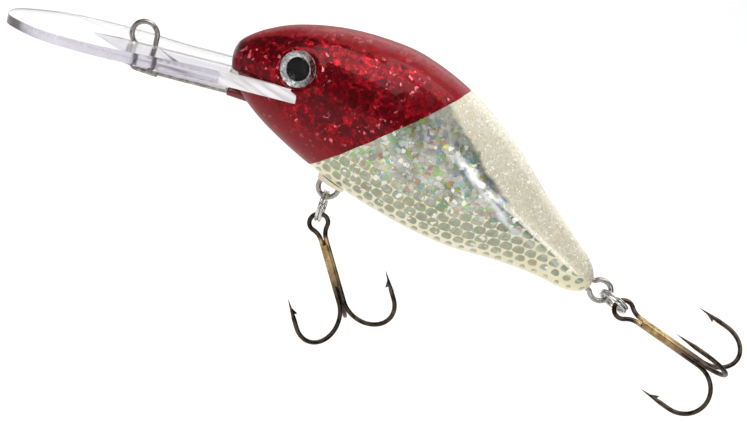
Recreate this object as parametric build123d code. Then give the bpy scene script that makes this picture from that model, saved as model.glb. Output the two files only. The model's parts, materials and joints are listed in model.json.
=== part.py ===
"""Deep-diving crankbait lure: a painted balsa body in two halves round a wire harness, with a clear
diving lip, domed eyes, a lead ballast, and two treble hooks that hang on split rings.

Model frame: millimetres, +X from nose to tail, +Z up, the plane y = 0 is the plane of symmetry.
The design is laid out from the nose datum (x = 0 close to the nose tip) and every solid is shifted on
export, so that the origin is the middle of the line tie, the point where the lure is held.
"""
from build123d import *
import math
import os

# ---- body ----------------------------------------------------------------------------------------
NOSE_X = -0.8
BODY_LENGTH = 80.8
NOSE_Z = 3.2
TAIL_Z = -0.6
OUTLINE_LENGTH = 80.8         # body length for which the x values of the outlines are given
BACK_LINE = [(0.3, 6.0), (3.0, 9.2), (7.0, 12.5), (15.5, 16.9), (24.0, 19.4), (31.0, 20.3),
             (41.5, 19.2), (53.0, 15.4), (64.5, 9.5), (73.0, 5.5), (78.0, 2.9)]
BELLY_LINE = [(0.2, -0.1), (2.5, -2.9), (5.0, -4.4), (10.0, -6.4), (16.0, -7.9), (24.0, -9.2),
              (34.0, -10.0), (44.0, -9.9), (53.0, -8.8), (62.0, -6.3), (70.0, -4.7), (75.5, -4.2),
              (78.8, -2.9)]
HALF_WIDTH = [(0.3, 4.1), (3.0, 5.9), (7.0, 7.3), (14.0, 8.9), (22.0, 10.1), (32.0, 10.6),
              (42.0, 10.1), (52.0, 8.8), (62.0, 6.6), (70.0, 4.6), (75.5, 3.4), (78.5, 2.3)]
RIDGE_SHARE_HEAD = 0.50       # height of the widest line, as a share of the section's height
RIDGE_SHARE_SHOULDER = 0.58
RIDGE_SHARE_TAIL = 0.50
ROUNDNESS_HEAD = 2.15         # superellipse power: 2 is an ellipse, less is a soft ridge
ROUNDNESS_TAIL = 1.62
RIDGE_RISES = (15, 45)        # x between which the widest line climbs to the shoulder's share
RIDGE_FALLS = (55, 80)        # x between which it comes down to the tail's share
RIDGE_SHARPENS = (25, 55)     # x between which the flank goes from round to a soft ridge
STATIONS = 26
SECTION_POINTS = 11
NOSE_ANGLE = 0.16             # first and last section, as angles from the two ends (see station)
TAIL_ANGLE = 0.13
GLUE_GAP = 0.01               # half of the gap between the two body halves
TRIM_SIZE = 2 * BODY_LENGTH   # size of the blocks that trim the body, well outside it

# ---- diving lip ----------------------------------------------------------------------------------
LIP_ANGLE = 17.5              # degrees that the lip dives below the body's axis
LIP_END = (14.3, 2.5)         # x and z of the middle of the tang's inner end
LIP_LENGTH = 58.0
LIP_DRAWN = 58.0              # lip length for which the blade's widest place is given
TANG_WIDTH = 17.6
TANG_LENGTH = 15.5
LIP_WIDTH = 25.5
LIP_WIDEST = 41.0             # from the tang's inner end
BLADE_SIDE = [(-15.0, 2.65), (-6.0, 0.35), (0.0, 0.0)]    # along from the widest point, and in from it
BLADE_TIP = [(8.5, 1.6), (2.2, 6.6)]                      # back from the tip, and in from the widest
TANG_THICK = 2.5
TIP_THICK = 1.7
KEEL_DEPTH = 2.1              # rib under the blade, which carries the wire
KEEL_WIDTH = 3.4
KEEL_START = 14.2             # from the tang's inner end, just ahead of the chin
KEEL_TIP = 42.0
KEEL_POINT = 6.0              # length of the keel's pointed front
KEEL_RAMP = 8.0               # length over which the keel rises to the blade
SLOT_CLEAR = 0.03

# ---- wire harness, hangers, ballast --------------------------------------------------------------
WIRE_D = 1.0
WIRE_CLEAR = 0.05
TIE_RADIUS = 2.45             # centre line of the line tie
TIE_S = 31.8                  # middle of the line tie, from the tang's inner end
TIE_HEIGHT = 2.8              # middle of the line tie, over the blade's middle plane
TIE_FRONT_LEG = 1.3           # front leg of the tie, ahead of its middle
TIE_BEND = 1.0
CLINCH_LENGTH = 5.4
CLINCH_SIDE = -1.65
LEG_BEND = 1.3
WIRE_RUN_GAP = 0.04           # between the keel and the wire under it
RUN_BEND = 12.0               # bend where the run under the lip levels out inside the body
TAIL_RUN_BEND = 15.0
HARNESS_Z = -1.6              # height of the long run inside the body
TAIL_LOOP_R = 2.05
TAIL_LOOP_OUT = 2.0           # middle of the tail loop, behind the tail
TAIL_RISE = (24.0, 13.0)      # the long run climbs to the tail between these distances ahead of the loop
TAIL_LEG = 1.0                # half of the distance between the legs of the tail loop
TAIL_BEND = 1.0
TAIL_ANCHOR = 12.0            # length of the loop's lower leg inside the body
BELLY_LOOP_X = 27.9
BELLY_LOOP_R = 1.95
BELLY_LOOP_DROP = 1.5         # middle of the belly loop, under the belly line
BALLAST_D = 6.2
BALLAST_LENGTH = 15.0
BALLAST_COVER = 1.0           # balsa between the ballast and the belly
HANGER_BITE = 3.6             # length of the hanger's legs inside the ballast
CHIN_BEAD_R = 1.25
CHIN_BEAD_GAP = 0.2           # between the keel and the bead
CHIN_BEAD_LIP = 0.3           # thickness of the bead at its front, round the wire
CHIN_BEAD_LENGTH = 6.0
BELLY_BEAD = (6.2, 4.2, 0.85)     # length, width and drop of the bead round the belly hanger
BELLY_BEAD_ROOT = 0.8         # depth that the bead reaches over the belly line, into the body
BELLY_BEAD_TAPER = 0.3

# ---- eyes ----------------------------------------------------------------------------------------
EYE_D = 7.0
EYE_X = 11.9
EYE_WALL = 0.289              # balsa between the eye's seat and the lip's slot
EYE_YAW = 13.0                # degrees that the eye looks ahead of square
EYE_SINK = 0.9                # from the body's widest point there down to the seat
EYE_FOIL = 0.3
PUPIL_D = 4.3
PUPIL_THICK = 0.12
DOME_RIM = 0.35
DOME_RISE = 1.25
EYE_CLEAR = 0.04

# ---- side foils ----------------------------------------------------------------------------------
FOIL_THICK = 0.16
FOIL_FROM_BACK = 3.0          # the foil stops this far under the back line
FOIL_FROM_BELLY = 3.4
FOIL_MARGIN_SHARE = 0.36      # of the body's height, where the body is too low for the full margins
FOIL_FROM_NOSE = 3.0
FOIL_FROM_TAIL = 3.0
FOIL_OVER_SLOT = 0.3
FOIL_POINTS = 9

# ---- split rings and treble hooks ----------------------------------------------------------------
RING_D = 6.3
RING_WIRE = 0.6
RING_COIL_GAP = 0.03
RING_JOG = 26.0               # degrees over which the ring's wire steps from one coil to the other
RING_JOG_AT = 118.0           # where the step is, from the side where the hook hangs
LINK_GAP = 0.12               # between a hanger's wire and the ring on it, with the link pulled tight
BELLY_RING_SLACK = 0.0
TAIL_RING_SLACK = 0.65
BELLY_EYE_LINK = 0.62         # from the ring's wire to the middle of the hook's eye
TAIL_EYE_LINK = -0.42
HOOK_WIRE = 0.9
HOOK_SPACING = 1.0            # between the shank wires
HOOK_EYE_R = 1.8
HOOK_EYE_BLEND = 4.0
HOOK_LENGTH = 25.5
HOOK_BEND_R = 5.3
HOOK_POINT = 6.2              # from the end of the bend to the tip
POINT_TAPER = 4.2
POINT_TIP_D = 0.08
BARB_FROM_TIP = 3.5
BARB_LENGTH = 1.5
BARB_RISE = 0.55
BARB_THICK = 0.34
BARB_UNDERCUT = 0.25
THIRD_START = 4.3             # below the middle of the hook's eye
BRAZE_START = 4.7
BRAZE_LENGTH = 9.0
BRAZE_D = 1.76

# Each hook hangs with a dip below the horizontal, a yaw away from the lure's right side, and a turn
# about its shank.
BELLY_RING_DIP = 77.0
BELLY_HOOK_DIP = 46.4
BELLY_HOOK_YAW = 13.8
BELLY_HOOK_TURN = 12.5
TAIL_RING_DIP = 8.0
TAIL_RING_ROLL = 25.0
TAIL_HOOK_DIP = 1.8
TAIL_HOOK_YAW = -8.5
TAIL_HOOK_TURN = 202.7


# ---- outlines ------------------------------------------------------------------------------------
def station(x):
    """Angle from 0 at the nose to pi at the tail; equal steps crowd the sections towards the rounded ends."""
    return math.acos(max(-1.0, min(1.0, 1 - 2 * (x - NOSE_X) / BODY_LENGTH)))


def station_x(angle):
    return NOSE_X + BODY_LENGTH * (1 - math.cos(angle)) / 2


def stretched(x):
    """Place on the body of a feature that the outlines give at x."""
    return NOSE_X + (x - NOSE_X) * BODY_LENGTH / OUTLINE_LENGTH


def smooth(first, points, last, x):
    """Cubic curve through points, drawn over the station angle, so that both ends are round."""
    ts = [0.0] + [station(stretched(px)) for px, _ in points] + [math.pi]
    vs = [first] + [v for _, v in points] + [last]
    t = station(x)
    i = max(0, min(len(ts) - 2, sum(1 for k in ts if k <= t) - 1))
    slopes = [(vs[min(k + 1, len(vs) - 1)] - vs[max(k - 1, 0)]) /
              (ts[min(k + 1, len(ts) - 1)] - ts[max(k - 1, 0)]) for k in range(len(ts))]
    h = ts[i + 1] - ts[i]
    u = (t - ts[i]) / h
    return ((2 * u**3 - 3 * u**2 + 1) * vs[i] + (u**3 - 2 * u**2 + u) * h * slopes[i]
            + (3 * u**2 - 2 * u**3) * vs[i + 1] + (u**3 - u**2) * h * slopes[i + 1])


def back(x):
    return smooth(NOSE_Z, BACK_LINE, TAIL_Z, x)


def belly(x):
    return smooth(NOSE_Z, BELLY_LINE, TAIL_Z, x)


def half_width(x):
    return smooth(0.0, HALF_WIDTH, 0.0, x)


def ramp(x, span):
    low, high = (stretched(end) for end in span)
    u = max(0.0, min(1.0, (x - low) / (high - low)))
    return u * u * (3 - 2 * u)


def ridge(x):
    """Height of the body's widest line."""
    forward = RIDGE_SHARE_HEAD + (RIDGE_SHARE_SHOULDER - RIDGE_SHARE_HEAD) * ramp(x, RIDGE_RISES)
    share = forward + (RIDGE_SHARE_TAIL - RIDGE_SHARE_SHOULDER) * ramp(x, RIDGE_FALLS)
    return belly(x) + share * (back(x) - belly(x))


def roundness(x):
    return ROUNDNESS_HEAD + (ROUNDNESS_TAIL - ROUNDNESS_HEAD) * ramp(x, RIDGE_SHARPENS)


def side_point(x, turn, inset=0.0):
    """(y, z) on the body's section at x; turn runs from 0 at the back to pi at the belly."""
    power = 2 / roundness(x)
    middle = ridge(x)
    reach = (back(x) if turn < math.pi / 2 else belly(x)) - middle
    y = max(half_width(x) - inset, 2 * GLUE_GAP) * abs(math.sin(turn)) ** power
    z = middle + (reach - math.copysign(inset, reach)) * abs(math.cos(turn)) ** power
    return y, z


def section(x, inset=0.0):
    turns = [math.pi * k / (SECTION_POINTS - 1) for k in range(SECTION_POINTS)]
    rim = [Vector(x, *side_point(x, t, inset)) for t in turns]
    rim[0], rim[-1] = Vector(x, 0, rim[0].Z), Vector(x, 0, rim[-1].Z)
    side = Spline(*rim, tangents=[(0, 1, 0), (0, -1, 0)])
    return Face(Wire([side, Line(rim[-1], rim[0])]))


def half_body(inset=0.0):
    """The left half (y > 0) of the body, flat on the plane of symmetry."""
    step = (math.pi - TAIL_ANGLE - NOSE_ANGLE) / (STATIONS - 1)
    return loft([section(station_x(NOSE_ANGLE + step * k), inset) for k in range(STATIONS)])


# ---- wire work -----------------------------------------------------------------------------------
def tube(edges, radius):
    """A round wire along tangent lines and arcs."""
    path = Wire(edges)
    start = path @ 0
    return sweep(Plane(start, z_dir=path % 0) * Circle(radius), path=path)


def bend(p0, corner, p1, radius):
    """(start, middle, end) of the arc that rounds a corner."""
    a, b = (p0 - corner).normalized(), (p1 - corner).normalized()
    half = math.radians(a.get_angle(b)) / 2
    back_off = radius / math.tan(half)
    centre = corner + (a + b).normalized() * (radius / math.sin(half))
    start, end = corner + a * back_off, corner + b * back_off
    return start, centre + (corner - centre).normalized() * radius, end


def rounded_path(points, radii):
    """Edges of a polyline whose inner corners are rounded with the given radii."""
    edges, at = [], points[0]
    for before, corner, after, radius in zip(points, points[1:], points[2:], radii):
        start, middle, end = bend(before, corner, after, radius)
        edges += [Line(at, start), ThreePointArc(start, middle, end)]
        at = end
    return edges + [Line(at, points[-1])]


def turned(centre, radius, degrees, u, v):
    """A point on a circle; u and v are its unit axes."""
    a = math.radians(degrees)
    return centre + u * (radius * math.cos(a)) + v * (radius * math.sin(a))


# ---- diving lip ----------------------------------------------------------------------------------
LIP_COS, LIP_SIN = math.cos(math.radians(LIP_ANGLE)), math.sin(math.radians(LIP_ANGLE))
LIP_SLOPE = LIP_SIN / LIP_COS
LIP_PLANE = Plane(Vector(LIP_END[0], 0, LIP_END[1]), x_dir=(-LIP_COS, 0, -LIP_SIN),
                  z_dir=(-LIP_SIN, 0, LIP_COS))
LIP_SIDE = Plane(LIP_PLANE.origin, x_dir=LIP_PLANE.x_dir, z_dir=-LIP_PLANE.y_dir)
KEEL_BOTTOM = -(TANG_THICK / 2 + KEEL_DEPTH)
WIRE_RUN = KEEL_BOTTOM - WIRE_D / 2 - WIRE_RUN_GAP
REAR_LEG_S = TIE_S - TIE_RADIUS
FRONT_LEG_S = TIE_S + TIE_FRONT_LEG


def on_lip(s, y, h):
    """A point given along the lip from its tang, across it, and above its middle plane."""
    return LIP_PLANE.from_local_coords(Vector(s, -y, h))


def lip_blade():
    half_tang, half = TANG_WIDTH / 2, LIP_WIDTH / 2
    widest = LIP_WIDEST * LIP_LENGTH / LIP_DRAWN
    side = Spline((TANG_LENGTH, half_tang), *[(widest + s, half - inward) for s, inward in BLADE_SIDE],
                  *[(LIP_LENGTH - s, half - inward) for s, inward in BLADE_TIP], (LIP_LENGTH, 0),
                  tangents=[(1, 0), (0, -1)])
    edge = Line((0, 0), (0, half_tang)) + Line((0, half_tang), (TANG_LENGTH, half_tang)) + side
    outline = make_face(edge + mirror(edge, about=Plane.XZ))
    low, high = -TANG_THICK / 2, TANG_THICK / 2
    wedge = make_face(Polyline((0, low), (TANG_LENGTH, low), (LIP_LENGTH, -TIP_THICK / 2),
                               (LIP_LENGTH, TIP_THICK / 2), (TANG_LENGTH, high), (0, high), close=True))
    slab = extrude(LIP_PLANE * outline, TANG_THICK, both=True)
    return slab & extrude(LIP_SIDE * wedge, LIP_WIDTH, both=True)


def lip_keel():
    half = KEEL_WIDTH / 2
    plan = make_face(Polyline((KEEL_START, -half), (KEEL_TIP - KEEL_POINT, -half), (KEEL_TIP, 0),
                              (KEEL_TIP - KEEL_POINT, half), (KEEL_START, half), close=True))
    slab = extrude(LIP_PLANE * plan, KEEL_BOTTOM)
    ramped = make_face(Polyline((KEEL_START, 0), (KEEL_START, KEEL_BOTTOM),
                                (KEEL_TIP - KEEL_RAMP, KEEL_BOTTOM), (KEEL_TIP, -TIP_THICK / 2),
                                (KEEL_TIP, 0), close=True))
    return slab & extrude(LIP_SIDE * ramped, KEEL_WIDTH, both=True)


# ---- wire harness --------------------------------------------------------------------------------
def harness_path():
    """One wire: clinch, line tie, run under the lip, through the body, round the tail loop and back."""
    tie = Vector(TIE_S, 0, TIE_HEIGHT)
    small_x = TIE_FRONT_LEG + TIE_BEND
    small_h = TIE_HEIGHT - math.sqrt((TIE_RADIUS + TIE_BEND) ** 2 - small_x**2)
    meet = math.degrees(math.atan2(small_h - TIE_HEIGHT, small_x))

    def tie_point(degrees):
        return on_lip(tie.X + TIE_RADIUS * math.cos(math.radians(degrees)), 0,
                      tie.Z + TIE_RADIUS * math.sin(math.radians(degrees)))

    def small_point(degrees):
        return on_lip(TIE_S + small_x + TIE_BEND * math.cos(math.radians(degrees)), 0,
                      small_h + TIE_BEND * math.sin(math.radians(degrees)))

    clinch_end = on_lip(FRONT_LEG_S - CLINCH_LENGTH, CLINCH_SIDE, WIRE_RUN)
    front_corner = on_lip(FRONT_LEG_S, 0, WIRE_RUN)
    leg_top = on_lip(FRONT_LEG_S, 0, small_h)
    edges = rounded_path([clinch_end, front_corner, leg_top], [TIE_BEND])
    edges.append(ThreePointArc(leg_top, small_point((180 + 180 + meet) / 2), tie_point(meet)))
    edges.append(ThreePointArc(tie_point(meet), tie_point((meet + 180) / 2), tie_point(180)))

    run = on_lip(KEEL_START, 0, WIRE_RUN)
    level_x = run.X + (HARNESS_Z - run.Z) / LIP_SLOPE
    tail_z = TAIL_Z + TAIL_LEG
    tail_small_z = TAIL_LEG + TAIL_BEND
    tail_small_x = math.sqrt((TAIL_LOOP_R + TAIL_BEND) ** 2 - tail_small_z**2)
    lower_z = TAIL_Z - TAIL_LEG
    corners = [tie_point(180), on_lip(REAR_LEG_S, 0, WIRE_RUN), Vector(level_x, 0, HARNESS_Z),
               Vector(TAIL_LOOP_X - TAIL_RISE[0], 0, HARNESS_Z),
               Vector(TAIL_LOOP_X - TAIL_RISE[1], 0, tail_z),
               Vector(TAIL_LOOP_X - tail_small_x, 0, tail_z)]
    edges += rounded_path(corners, [LEG_BEND, RUN_BEND, TAIL_RUN_BEND, TAIL_RUN_BEND])

    loop = Vector(TAIL_LOOP_X, 0, TAIL_Z)
    ux, uz = Vector(1, 0, 0), Vector(0, 0, 1)
    open_angle = math.degrees(math.atan2(tail_small_z, -tail_small_x))
    inward = 180 - open_angle
    upper = loop + Vector(-tail_small_x, 0, tail_small_z)
    lower = loop + Vector(-tail_small_x, 0, -tail_small_z)
    edges.append(ThreePointArc(turned(upper, TAIL_BEND, -90, ux, uz),
                               turned(upper, TAIL_BEND, -(90 + inward) / 2, ux, uz),
                               turned(upper, TAIL_BEND, -inward, ux, uz)))
    edges.append(ThreePointArc(turned(loop, TAIL_LOOP_R, open_angle, ux, uz),
                               turned(loop, TAIL_LOOP_R, 0, ux, uz),
                               turned(loop, TAIL_LOOP_R, -open_angle, ux, uz)))
    edges.append(ThreePointArc(turned(lower, TAIL_BEND, inward, ux, uz),
                               turned(lower, TAIL_BEND, (90 + inward) / 2, ux, uz),
                               turned(lower, TAIL_BEND, 90, ux, uz)))
    leg_x = loop.X - tail_small_x
    edges.append(Line(Vector(leg_x, 0, lower_z), Vector(leg_x - TAIL_ANCHOR, 0, lower_z)))
    return edges


def hanger_path():
    top = BALLAST_Z + HANGER_BITE / 2
    centre = Vector(BELLY_LOOP_X, 0, BELLY_LOOP_Z)
    front, rear = centre + Vector(-BELLY_LOOP_R, 0, 0), centre + Vector(BELLY_LOOP_R, 0, 0)
    bottom = centre + Vector(0, 0, -BELLY_LOOP_R)
    return [Line(Vector(front.X, 0, top), front), ThreePointArc(front, bottom, rear),
            Line(rear, Vector(rear.X, 0, top))]


TAIL_LOOP_X = NOSE_X + BODY_LENGTH + TAIL_LOOP_OUT
BELLY_LOOP_Z = belly(BELLY_LOOP_X) - BELLY_LOOP_DROP
BALLAST_Z = belly(BELLY_LOOP_X) + BALLAST_COVER + BALLAST_D / 2


def ballast_slug():
    """A cast lead slug with rounded ends, lying along the belly over the hanger."""
    rod = Pos(BELLY_LOOP_X, 0, BALLAST_Z) * Rot(0, 90, 0) * Cylinder(BALLAST_D / 2, BALLAST_LENGTH)
    return fillet(rod.edges().filter_by(GeomType.CIRCLE), BALLAST_D / 4)


def chin_bead(body, harness, lip):
    """Epoxy round the wire where it enters the chin."""
    middle = on_lip(KEEL_START - CHIN_BEAD_GAP - CHIN_BEAD_LENGTH / 2, 0, WIRE_RUN)
    cone = Cone(WIRE_D / 2 + CHIN_BEAD_LIP, CHIN_BEAD_R, CHIN_BEAD_LENGTH)
    bead = Plane(middle, z_dir=-LIP_PLANE.x_dir) * cone - harness - lip
    for half in body:
        bead -= half
    return largest(bead)


def belly_bead(body, hanger):
    """Epoxy round the two legs of the belly hanger."""
    length, width, drop = BELLY_BEAD
    level = belly(BELLY_LOOP_X)
    foot = Plane(Vector(BELLY_LOOP_X, 0, level - drop)) * Ellipse(length / 2 - BELLY_BEAD_TAPER,
                                                                  width / 2 - BELLY_BEAD_TAPER)
    root = Plane(Vector(BELLY_LOOP_X, 0, level + BELLY_BEAD_ROOT)) * Ellipse(length / 2, width / 2)
    bead = loft([foot, root]) - hanger
    for half in body:
        bead -= half
    return largest(bead)


def largest(shape):
    return max(shape.solids(), key=lambda s: s.volume)


# ---- eyes ----------------------------------------------------------------------------------------
EYE_OVER_LIP = TANG_THICK / 2 + SLOT_CLEAR + EYE_WALL + EYE_CLEAR + EYE_D / 2
EYE_Z = LIP_END[1] + (EYE_OVER_LIP + LIP_SIN * (EYE_X - LIP_END[0])) / LIP_COS


def eye_plane(side):
    """Plane of the eye's seat, facing outwards; side is 1 for the left eye and -1 for the right one."""
    yaw = math.radians(EYE_YAW)
    out = Vector(-math.sin(yaw), side * math.cos(yaw), 0)
    seat = half_width(EYE_X) - EYE_SINK
    return Plane(Vector(EYE_X, side * seat, EYE_Z), x_dir=(0, 0, 1), z_dir=out)


def eye_seat(side):
    return eye_plane(side) * Pos(0, 0, EYE_D / 2) * Cylinder(EYE_D / 2 + EYE_CLEAR, EYE_D)


def eye_parts(side):
    seat = eye_plane(side)
    foil = seat * Pos(0, 0, EYE_FOIL / 2) * Cylinder(EYE_D / 2, EYE_FOIL)
    pupil = seat * Pos(0, 0, EYE_FOIL + PUPIL_THICK / 2) * Cylinder(PUPIL_D / 2, PUPIL_THICK)
    rim_top = EYE_FOIL + DOME_RIM
    radius = ((EYE_D / 2) ** 2 + DOME_RISE**2) / (2 * DOME_RISE)
    cap = Pos(0, 0, rim_top + DOME_RISE - radius) * Sphere(radius)
    cap &= Pos(0, 0, rim_top + DOME_RISE) * Cylinder(EYE_D / 2, 2 * DOME_RISE)
    rim = Pos(0, 0, EYE_FOIL + DOME_RIM / 2) * Cylinder(EYE_D / 2, DOME_RIM)
    dome = seat * (rim + cap) - pupil
    return foil, pupil, dome


# ---- foils ---------------------------------------------------------------------------------------
def foil_window():
    """The side view of the foil, as a prism on the left side."""
    start, end = NOSE_X + FOIL_FROM_NOSE, NOSE_X + BODY_LENGTH - FOIL_FROM_TAIL
    xs = [start + (end - start) * k / (FOIL_POINTS - 1) for k in range(FOIL_POINTS)]

    def margins(x):
        return min(1.0, FOIL_MARGIN_SHARE * (back(x) - belly(x)) / (FOIL_FROM_BACK + FOIL_FROM_BELLY))

    top = [Vector(x, 0, back(x) - FOIL_FROM_BACK * margins(x)) for x in xs]
    low = [Vector(x, 0, max(belly(x) + FOIL_FROM_BELLY * margins(x), lip_roof(x))) for x in xs]
    low_edges = [Line(a, b) for a, b in zip(reversed(low), list(reversed(low))[1:])]
    edge = Wire([Spline(*top), Line(top[-1], low[-1]), *low_edges, Line(low[0], top[0])])
    return extrude(Face(edge), TRIM_SIZE, dir=(0, 1, 0))


def lip_roof(x):
    """Height just over the lip's slot, so that the foil stays above it; the belly line behind the slot."""
    if x > LIP_END[0] + TANG_THICK / 2:
        return belly(x)
    return LIP_END[1] + (x - LIP_END[0]) * LIP_SLOPE + TANG_THICK / 2 / LIP_COS + FOIL_OVER_SLOT


# ---- split ring ----------------------------------------------------------------------------------
RING_R = (RING_D - RING_WIRE) / 2
COIL_STEP = (RING_WIRE + RING_COIL_GAP) / 2


def split_ring():
    """Two turns of wire, axis along X, middle at the origin. The hook hangs on the -Z side."""
    u, v = Vector(0, 0, -1), Vector(0, 1, 0)

    def at(offset, degrees):
        return turned(Vector(offset, 0, 0), RING_R, degrees, u, v)

    start, end = RING_JOG_AT + RING_JOG / 2, RING_JOG_AT - RING_JOG / 2 + 360
    first = ThreePointArc(at(-COIL_STEP, start), at(-COIL_STEP, (start + end) / 2), at(-COIL_STEP, end))
    second = ThreePointArc(at(COIL_STEP, start), at(COIL_STEP, (start + end) / 2), at(COIL_STEP, end))
    step = Spline(at(-COIL_STEP, end), at(COIL_STEP, start + 360), tangents=[first % 1, second % 0])
    return tube([first, step, second], RING_WIRE / 2)


# ---- treble hook ---------------------------------------------------------------------------------
AXIS_OFF = HOOK_SPACING / math.sqrt(3)       # from the middle of the shank to each wire
EYE_PLANE_OFF = HOOK_SPACING / math.sqrt(12)   # from the middle of the shank to the plane of the eye
BEND_Z = -(HOOK_LENGTH - HOOK_EYE_R - HOOK_WIRE / 2) + HOOK_BEND_R + HOOK_WIRE / 2


def shank_foot(degrees):
    """Middle of a shank wire, and the way that it bends out; the treble's eye is in the plane y = 0."""
    out = Vector(math.cos(math.radians(degrees)), math.sin(math.radians(degrees)), 0)
    return Vector(0, EYE_PLANE_OFF, 0) + out * AXIS_OFF, out


def bend_edges(degrees):
    """(shank end, bend, leg to the start of the point's taper)."""
    foot, out = shank_foot(degrees)
    top = foot + Vector(0, 0, BEND_Z)
    bottom = top + out * HOOK_BEND_R + Vector(0, 0, -HOOK_BEND_R)
    rise = top + out * (2 * HOOK_BEND_R)
    leg = rise + Vector(0, 0, HOOK_POINT - POINT_TAPER)
    return top, ThreePointArc(top, bottom, rise), rise, leg


def hook_point(degrees):
    """Tapered point with its barb."""
    foot, out = shank_foot(degrees)
    base = foot + out * (2 * HOOK_BEND_R) + Vector(0, 0, BEND_Z + HOOK_POINT - POINT_TAPER)
    point = Pos(*(base + Vector(0, 0, POINT_TAPER / 2))) * Cone(HOOK_WIRE / 2, POINT_TIP_D / 2, POINT_TAPER)
    root = POINT_TAPER - BARB_FROM_TIP
    inner = HOOK_WIRE / 2 * (1 - (root + BARB_LENGTH) / POINT_TAPER)
    barb = make_face(Polyline((0, root + BARB_LENGTH), (inner, root + BARB_LENGTH),
                              (HOOK_WIRE / 2 + BARB_RISE, root), (0, root + BARB_UNDERCUT), close=True))
    side = Plane(base, x_dir=-out, z_dir=(-out).cross(Vector(0, 0, 1)))
    return point, side * extrude(barb, BARB_THICK / 2, both=True)


def hook_pair():
    """One wire: two points, two bends, and the eye between them."""
    eye = Vector(0, 0, 0)
    ux, uz = Vector(1, 0, 0), Vector(0, 0, 1)
    leg_x = HOOK_SPACING / 2
    small_x = leg_x + HOOK_EYE_BLEND
    small_z = -math.sqrt((HOOK_EYE_R + HOOK_EYE_BLEND) ** 2 - small_x**2)
    meet = math.degrees(math.atan2(small_z, small_x))
    top1, arc1, rise1, leg1 = bend_edges(210)
    top2, arc2, rise2, leg2 = bend_edges(330)
    left, right = Vector(-small_x, 0, small_z), Vector(small_x, 0, small_z)
    edges = [Line(leg1, rise1), ThreePointArc(rise1, arc1 @ 0.5, top1),
             Line(top1, Vector(-leg_x, 0, small_z))]
    edges.append(ThreePointArc(Vector(-leg_x, 0, small_z), turned(left, HOOK_EYE_BLEND, -meet / 2, ux, uz),
                               turned(eye, HOOK_EYE_R, 180 - meet, ux, uz)))
    edges.append(ThreePointArc(turned(eye, HOOK_EYE_R, 180 - meet, ux, uz),
                               turned(eye, HOOK_EYE_R, 90, ux, uz),
                               turned(eye, HOOK_EYE_R, meet, ux, uz)))
    edges.append(ThreePointArc(turned(eye, HOOK_EYE_R, meet, ux, uz),
                               turned(right, HOOK_EYE_BLEND, 180 + meet / 2, ux, uz),
                               Vector(leg_x, 0, small_z)))
    edges += [Line(Vector(leg_x, 0, small_z), top2), arc2, Line(rise2, leg2)]
    wire = tube(edges, HOOK_WIRE / 2)
    for degrees in (210, 330):
        for piece in hook_point(degrees):
            wire += piece
    return wire


def hook_third():
    """The single hook that is brazed to the pair."""
    foot, _ = shank_foot(90)
    top, arc, rise, leg = bend_edges(90)
    wire = tube([Line(foot + Vector(0, 0, -THIRD_START), top), arc, Line(rise, leg)], HOOK_WIRE / 2)
    for piece in hook_point(90):
        wire += piece
    return wire


def hook_braze():
    """Brass that fills the grooves between the three shank wires."""
    middle = -BRAZE_START - BRAZE_LENGTH / 2
    core = Pos(0, EYE_PLANE_OFF, middle) * Cylinder(BRAZE_D / 2, BRAZE_LENGTH)
    for degrees in (90, 210, 330):
        foot, _ = shank_foot(degrees)
        core -= Pos(foot.X, foot.Y, middle) * Cylinder(HOOK_WIRE / 2, 2 * BRAZE_LENGTH)
    return core


# ---- where the rings and hooks hang --------------------------------------------------------------
def hang(centre, loop_radius, slack, ring_dip, ring_roll, eye_link, hook_turns):
    """(ring's place, hook's place) from the middle of the hanger's loop; hook_turns is (dip, yaw, turn)."""
    hook_dip, hook_yaw, hook_turn = hook_turns
    ring_way = Vector(math.cos(math.radians(ring_dip)), 0, -math.sin(math.radians(ring_dip)))
    near = loop_radius - WIRE_D / 2 - RING_WIRE / 2 - LINK_GAP - slack
    ring_place = Pos(*(centre + ring_way * (near + RING_R))) * Rot(0, ring_dip - 90, 0) * Rot(0, 0, ring_roll)
    swung = Rot(0, hook_dip - 90, 0) * Rot(hook_yaw, 0, 0) * Rot(0, 0, hook_turn)
    hook_way = -Plane(swung).z_dir
    hook_eye = centre + ring_way * (near + 2 * RING_R) + hook_way * eye_link
    return ring_place, Pos(*hook_eye) * swung


BELLY_CENTRE = Vector(BELLY_LOOP_X, 0, BELLY_LOOP_Z)
TAIL_CENTRE = Vector(TAIL_LOOP_X, 0, TAIL_Z)
BELLY_RING_AT, BELLY_HOOK_AT = hang(BELLY_CENTRE, BELLY_LOOP_R, BELLY_RING_SLACK, BELLY_RING_DIP, 0.0,
                                    BELLY_EYE_LINK, (BELLY_HOOK_DIP, BELLY_HOOK_YAW, BELLY_HOOK_TURN))
TAIL_RING_AT, TAIL_HOOK_AT = hang(TAIL_CENTRE, TAIL_LOOP_R, TAIL_RING_SLACK, TAIL_RING_DIP, TAIL_RING_ROLL,
                                  TAIL_EYE_LINK, (TAIL_HOOK_DIP, TAIL_HOOK_YAW, TAIL_HOOK_TURN))
ORIGIN = on_lip(TIE_S, 0, TIE_HEIGHT)


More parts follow.
